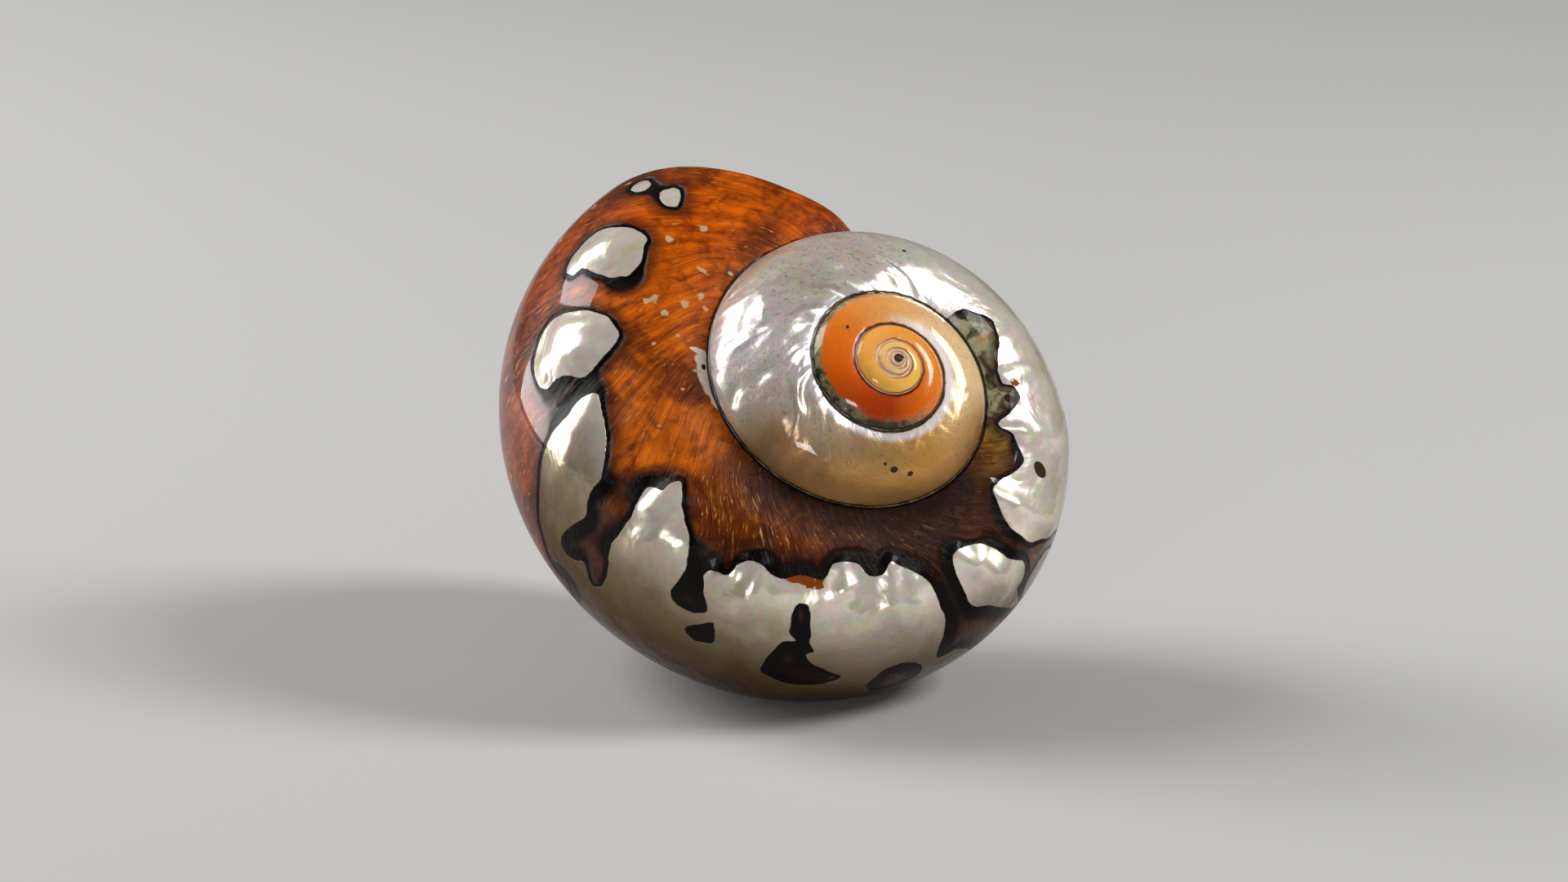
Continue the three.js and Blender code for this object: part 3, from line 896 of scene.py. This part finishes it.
# The outer skin: fibres, dark clouds, golden threads and flecks over its ground colour.
def skin_colour(tree, at):
    turn, place, blotch = at["turn"], at["place"], at["blotch"]
    low = fall(tree, place, 30, 74)
    skin = blend(tree, low, ramp_over(tree, turn, SKIN_ALONG), ramp_over(tree, turn, SKIN_BELOW))
    deep = [(0.30, (0.30, 0.20, 0.16)), (0.47, (0.80, 0.76, 0.70)), (0.66, (1.2, 1.25, 1.2))]
    skin = blend(tree, 1.0, skin, ramp(tree, at["Streaks"], deep), "MULTIPLY")
    mottle = [(0.34, (0.34, 0.26, 0.22)), (0.50, (0.92, 0.90, 0.90)), (0.68, (1.2, 1.3, 1.3))]
    skin = blend(tree, 0.8, skin, ramp(tree, blotch, mottle), "MULTIPLY")
    clouds = fall(tree, at["Patches"], 0.38, 0.54)
    skin = blend(tree, product(tree, clouds, 0.75), skin, (0.050, 0.007, 0.001))
    golden = fade(tree, at["Threads"], 0.56, 0.70)
    skin = blend(tree, product(tree, golden, 0.7), skin, (0.80, 0.25, 0.010))
    weathered = product(tree, fall(tree, turn, -228, -214), fade(tree, place, 60, 76))
    weathered = product(tree, weathered, fade(tree, turn, -330, -300))
    at["weathered"] = weathered
    spotted = ramp(tree, noise(tree, at["where"], 460, 4, 0.62, 0.7), WEATHERED)
    skin = blend(tree, product(tree, weathered, 0.9), skin, spotted)
    scratched = product(tree, fade(tree, turn, -180, -150), fall(tree, turn, -100, -75))
    scratched = maths(tree, "ADD", product(tree, scratched, 0.06), at["Scratches"])
    scratch = product(tree, fade(tree, scratched, 0.68, 0.73), fade(tree, turn, -230, -200))
    shown = maths(tree, "ADD", 0.15, product(tree, fade(tree, place, 30, 75), 0.6))
    scratch = product(tree, scratch, shown)
    skin = blend(tree, scratch, skin, (0.74, 0.42, 0.12))
    skin = blend(tree, product(tree, at["Halo"], 0.78), skin, (0.035, 0.005, 0.001))
    # painted shade: the skin is darkened under the overhang of the spire, most near its seam
    under = product(tree, fade(tree, turn, -212, -186), fall(tree, turn, -110, -74))
    near_seam = maths(tree, "ADD", at["clear_of_older"], swing(tree, blotch, 3.0))
    shade = product(tree, under, fall(tree, near_seam, 1.4, 8.0), 0.94)
    skin = blend(tree, shade, skin, (0.012, 0.003, 0.001))
    patchy = swing(tree, blotch, 1.2)
    burnt = fade(tree, maths(tree, "ADD", at["dark"], patchy), 0.36, 0.58)
    at["burnt"] = burnt
    skin = blend(tree, product(tree, burnt, 0.94), skin, (0.006, 0.002, 0.001))
    scuffed = fade(tree, maths(tree, "ADD", at["scuff"], swing(tree, blotch, 1.0)), 0.48, 0.66)
    scuffed = product(tree, scuffed, rest_of(tree, burnt))
    skin = blend(tree, product(tree, scuffed, 0.9), skin, (0.82, 0.70, 0.60))
    skin = blend(tree, at["Rim"], skin, (0.003, 0.0015, 0.001))
    fleck = maths(tree, "ADD", at["fleck"], swing(tree, at["grit"], 1.6))
    return blend(tree, product(tree, fade(tree, fleck, 0.5, 0.85), 0.75), skin, (0.66, 0.46, 0.24))


# The ground pearl, with the amber of the older whorls, painted shade along the newer whorl's seam, rust
# stains and fine growth arcs.
def pearl_colour(tree, at, pearl):
    turn, place, patches = at["turn"], at["place"], at["Patches"]
    colour = pearl.outputs["Colour"]
    amber = product(tree, fall(tree, place, 60, 96), fall(tree, turn, -452, -425), 0.9)
    amber = product(tree, amber, fade(tree, turn, -600, -570))
    golds = [(0.36, (0.17, 0.085, 0.020)), (0.50, (0.42, 0.18, 0.028)), (0.66, (0.62, 0.32, 0.085))]
    colour = blend(tree, amber, colour, ramp(tree, patches, golds))
    # painted shade: the amber pearl is darkened in the crease along the newer whorl's seam
    seam_crease_shade = product(tree, fall(tree, at["clear_of_newer"], 0.5, 5.0), amber, 0.7)
    colour = blend(tree, seam_crease_shade, colour, (0.13, 0.055, 0.008))
    broken = maths(tree, "ADD", swing(tree, at["blotch"], 1.2), swing(tree, at["grit"], 1.5))
    rust = fade(tree, maths(tree, "ADD", at["rust"], broken), 0.50, 0.72)
    at["bare"] = rest_of(tree, maths(tree, "MAXIMUM", rust, amber))
    colour = blend(tree, rust, colour, (0.26, 0.055, 0.004))
    along = product(tree, at["growth"], 0.05)
    bend = noise(tree, vector(tree, along, product(tree, place, 0.03)), 1.4, 3, 0.6)
    saw = maths(tree, "FRACT", maths(tree, "MULTIPLY", bend, 14.0))
    off_line = maths(tree, "ABSOLUTE", maths(tree, "SUBTRACT", saw, 0.5))
    arcs = product(tree, fall(tree, off_line, 0.0, 0.10), fall(tree, turn, -330, -290), 0.55)
    colour = blend(tree, arcs, colour, (0.20, 0.12, 0.05))
    # an olive band, speckled dark, along the seam of the orange whorl
    ragged = maths(tree, "ADD", at["clear_of_newer"], swing(tree, at["blotch"], 2.0))
    olive = product(tree, fall(tree, ragged, 1.0, 1.5), fade(tree, turn, -925, -880))
    olive = product(tree, olive, fall(tree, turn, -740, -660))
    speckle = maths(tree, "ADD", patches, swing(tree, at["grit"], 0.35))
    olives = [(0.40, (0.035, 0.032, 0.015)), (0.48, (0.20, 0.18, 0.085)), (0.62, (0.50, 0.42, 0.22))]
    return blend(tree, olive, colour, ramp(tree, speckle, olives))


# The pearly edge beside a seam and the dark line in it, and the pits painted dark as painted shade.
def seam_colours(tree, at, colour):
    turn = at["turn"]
    wobble = swing(tree, noise(tree, at["where"], 700, 3), 0.5)
    older = maths(tree, "ADD", at["clear_of_older"], wobble)
    newer = maths(tree, "ADD", at["clear_of_newer"], wobble)
    pale = product(tree, fade(tree, older, 0.2, 0.5), fall(tree, older, 0.9, 1.9), 0.85)
    pale = product(tree, pale, fade(tree, turn, -700, -640), fall(tree, turn, -300, -270))
    colour = blend(tree, pale, colour, (0.92, 0.86, 0.88))
    seam = fall(tree, maths(tree, "MINIMUM", older, newer), 0.10, 0.42)
    seam_stops = [
        (-1100, (0.90, 0.50, 0.34)), (-990, (0.75, 0.30, 0.16)), (-900, (0.02, 0.012, 0.008)),
        (0, (0.006, 0.003, 0.002)),
    ]
    colour = blend(tree, product(tree, seam, 0.92), colour, ramp_over(tree, turn, seam_stops))
    at["seam"] = seam
    # painted shade: the pits and the tip of the apex are painted dark brown, as holes
    at["hole"] = fade(tree, maths(tree, "ADD", at["pit"], product(tree, wobble, 0.4)), 0.42, 0.66)
    return blend(tree, at["hole"], colour, (0.045, 0.026, 0.012))


def polished_skin_and_pearl():
    material, tree, shader = new_material("polished_skin_and_pearl")
    at = wall_readings(tree)
    turn, inside = at["turn"], at["Inside"]
    skin = skin_colour(tree, at)
    # painted shade: the pearl of the patches gets darker lower on the whorl, by the ramp over this height
    uneven = maths(tree, "ADD", at["place"], swing(tree, at["Patches"], 30))
    uneven = maths(tree, "ADD", uneven, product(tree, fade(tree, turn, -70, -52), 16))
    high = fade(tree, uneven, -6, 50)
    on_patches = ramp_over(tree, uneven, PEARL_UP_WITH_PAINTED_SHADE)
    on_spire = ramp_over(tree, turn, SPIRE_ALONG)
    ground = blend(tree, fall(tree, turn, -300, -280), on_patches, on_spire)
    strength = fade(tree, turn, -620, -480)
    pearl = use_group(
        tree, PEARL, Where=at["where"], Growth=at["growth"], Ground=ground, Tint_Strength=strength
    )
    colour = blend(tree, inside, skin, pearl_colour(tree, at, pearl))
    colour = seam_colours(tree, at, colour)
    # inside the mouth the wall of the older whorl is glazed with pearl
    lapped = maths(tree, "ADD", at["clear_of_newer"], swing(tree, at["blotch"], 1.2))
    lapped = maths(tree, "SUBTRACT", lapped, product(tree, fade(tree, turn, -430, -385), 1.2))
    glazed = use_group(
        tree, PEARL, Where=at["where"], Growth=at["growth"], Ground=(0.90, 0.85, 0.78), Tint_Strength=0.6
    )
    covered = fall(tree, lapped, -0.5, 0.3)
    colour = blend(tree, covered, colour, glazed.outputs["Colour"])
    join(tree, colour, shader.inputs["Base Color"])

    # gloss
    rough = blend(tree, at["weathered"], (0.22, 0.22, 0.22), (0.50, 0.50, 0.50))
    rough = blend(tree, inside, rough, (0.20, 0.20, 0.20))
    rough = blend(tree, product(tree, pearl.outputs["Clouds"], 0.35), rough, (0.42, 0.42, 0.42))
    rough = blend(tree, at["hole"], rough, (0.8, 0.8, 0.8))
    join(tree, rough, shader.inputs["Roughness"])
    shine = product(tree, inside, strength, at["bare"], 0.52)
    shine = product(tree, shine, high)
    shine = product(tree, shine, rest_of(tree, product(tree, covered, 0.8)))
    join(tree, shine, shader.inputs["Metallic"])
    black = product(tree, maths(tree, "MAXIMUM", at["Rim"], at["burnt"]), 0.90)
    black = maths(tree, "MAXIMUM", black, product(tree, at["weathered"], 0.75))
    black = product(tree, black, rest_of(tree, inside))
    dull = maths(tree, "MAXIMUM", maths(tree, "MAXIMUM", at["hole"], at["seam"]), black)
    coat = maths(tree, "SUBTRACT", 0.48, product(tree, dull, 0.46), True)
    coat = product(tree, coat, maths(tree, "ADD", 0.3, product(tree, high, 0.7)))
    join(tree, coat, shader.inputs["Coat Weight"])
    shader.inputs["Coat Roughness"].default_value = 0.04
    shader.inputs["Specular IOR Level"].default_value = 0.08

    # relief
    skin_height = maths(tree, "ADD", product(tree, at["Streaks"], 0.30), product(tree, at["Threads"], 0.10))
    skin_height = maths(tree, "SUBTRACT", skin_height, product(tree, at["Rim"], 0.30))
    pearl_height = maths(tree, "ADD", product(tree, pearl.outputs["Wave"], 0.55), 0.15)
    # the older whorls were ground in facets that lie along the growth lines
    facet_place = vector(tree, product(tree, at["growth"], 0.055), product(tree, at["place"], 0.028))
    facets = noise(tree, facet_place, 1.0, 1.0, 0.4, 0.6)
    facets = product(tree, facets, fall(tree, turn, -330, -290), fade(tree, turn, -490, -420), 2.0)
    pearl_height = maths(tree, "ADD", pearl_height, facets)
    height = add_node(tree, "ShaderNodeMix", data_type="FLOAT")
    join(tree, inside, height.inputs[0])
    join(tree, skin_height, height.inputs[2])
    join(tree, pearl_height, height.inputs[3])
    total = maths(tree, "SUBTRACT", height.outputs[0], product(tree, at["seam"], 0.5))
    bump = add_node(tree, "ShaderNodeBump")
    bump.inputs["Strength"].default_value = 1.0
    bump.inputs["Distance"].default_value = 0.0009
    join(tree, total, bump.inputs["Height"])
    join(tree, bump.outputs["Normal"], shader.inputs["Normal"])
    return material


# The glaze of the hollow, going to the skin's brown at the very edge of the lip.
def pearl_of_the_hollow():
    material, tree, shader = new_material("pearl_of_the_hollow")
    where = add_node(tree, "ShaderNodeTexCoord").outputs["Object"]
    growth = attribute(tree, "growth")
    place = attribute(tree, "place")
    pearl = use_group(tree, PEARL, Where=where, Growth=growth, Ground=(0.90, 0.85, 0.78), Tint_Strength=0.6)
    fibres = use_group(tree, FIBRES, Growth=growth, Place=place, Where=where)
    edge = maths(tree, "ADD", growth, maths(tree, "MULTIPLY", fibres.outputs["Patches"], 3.0))
    browns = [(0.35, (0.10, 0.018, 0.002)), (0.65, (0.30, 0.07, 0.008))]
    brown = ramp(tree, fibres.outputs["Threads"], browns)
    outer_lip = product(tree, fade(tree, place, -106, -84), fade(tree, edge, 0.6, 2.0))
    colour = blend(tree, outer_lip, pearl.outputs["Colour"], brown)
    join(tree, colour, shader.inputs["Base Color"])
    rough = blend(tree, pearl.outputs["Clouds"], (0.22, 0.22, 0.22), (0.32, 0.32, 0.32))
    join(tree, rough, shader.inputs["Roughness"])
    shader.inputs["Metallic"].default_value = 0.12
    shader.inputs["Coat Weight"].default_value = 0.6
    shader.inputs["Coat Roughness"].default_value = 0.08
    bump = add_node(tree, "ShaderNodeBump")
    bump.inputs["Strength"].default_value = 0.35
    bump.inputs["Distance"].default_value = 0.0005
    join(tree, pearl.outputs["Wave"], bump.inputs["Height"])
    join(tree, bump.outputs["Normal"], shader.inputs["Normal"])
    return material


# ---- The shell ------------------------------------------------------------------------------------
skin_and_pearl = polished_skin_and_pearl()
hollow_pearl = pearl_of_the_hollow()

LAST_WHORL_GROWTHS = spaced([(-360, 0), (0, 0.9)])
SPIRE_GROWTHS = spaced([(-2500, 0), (-1350, 12), (-1080, 5), (-720, 3), (-540, 1.6), (-360, 1.1)])
BODY_PLACES = spaced([(-180, 0), (-150, 3), (-30, 1.8), (30, 1.2), (118, 0.75), (128, 2)])
SPIRE_PLACES = spaced([(-180, 0), (-60, 4), (20, 2.2), (130, 0.95)])

last_whorl = outer_wall("last_whorl", LAST_WHORL_GROWTHS, BODY_PLACES, skin_and_pearl)
spire = outer_wall("spire", SPIRE_GROWTHS, SPIRE_PLACES, skin_and_pearl)
hollow = hollow_and_lip("hollow_and_lip", hollow_pearl)
core = pillar("pillar", hollow_pearl)
for piece in (last_whorl, spire, hollow, core):
    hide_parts("shell")


# ---- Floor and light --------------------------------------------------------------------------------
def lay_floor():
    mesh = bpy.data.meshes.new("floor")
    mesh.from_pydata([(-3, -3, 0), (3, -3, 0), (3, 3, 0), (-3, 3, 0)], [], [(0, 1, 2, 3)])
    floor = bpy.data.objects.new("floor", mesh)
    bpy.context.scene.collection.objects.link(floor)
    material, tree, shader = new_material("pale_floor")
    shader.inputs["Base Color"].default_value = (0.46, 0.455, 0.445, 1)
    shader.inputs["Roughness"].default_value = 0.9
    mesh.materials.append(material)


# A soft box, aimed at the shell from so many degrees round from the front and up.
def soft_light(name, azimuth, elevation, distance, wide, tall, power):
    data = bpy.data.lights.new(name, "AREA")
    data.shape = "RECTANGLE"
    data.size = wide
    data.size_y = tall
    data.energy = power
    light = bpy.data.objects.new(name, data)
    a = math.radians(azimuth)
    e = math.radians(elevation)
    toward = Vector((math.sin(a) * math.cos(e), -math.cos(a) * math.cos(e), math.sin(e)))
    aim = Vector((0, 0, 0.035))
    light.location = aim + toward * distance
    light.rotation_euler = toward.to_track_quat("Z", "Y").to_euler()
    bpy.context.scene.collection.objects.link(light)


def light_the_room():
    world = bpy.data.worlds.new("room")
    world.use_nodes = True
    background = world.node_tree.nodes["Background"]
    background.inputs["Color"].default_value = (0.85, 0.84, 0.82, 1)
    background.inputs["Strength"].default_value = 0.09
    bpy.context.scene.world = world
    soft_light("left_soft_box", -112, 28, 1.2, 0.62, 1.25, 21)
    soft_light("right_soft_box", 86, 38, 1.2, 0.42, 0.42, 12)
    soft_light("front_fill", -12, 10, 1.3, 0.34, 0.18, 4)


lay_floor()
light_the_room()
bpy.context.scene.view_settings.view_transform = "Standard"
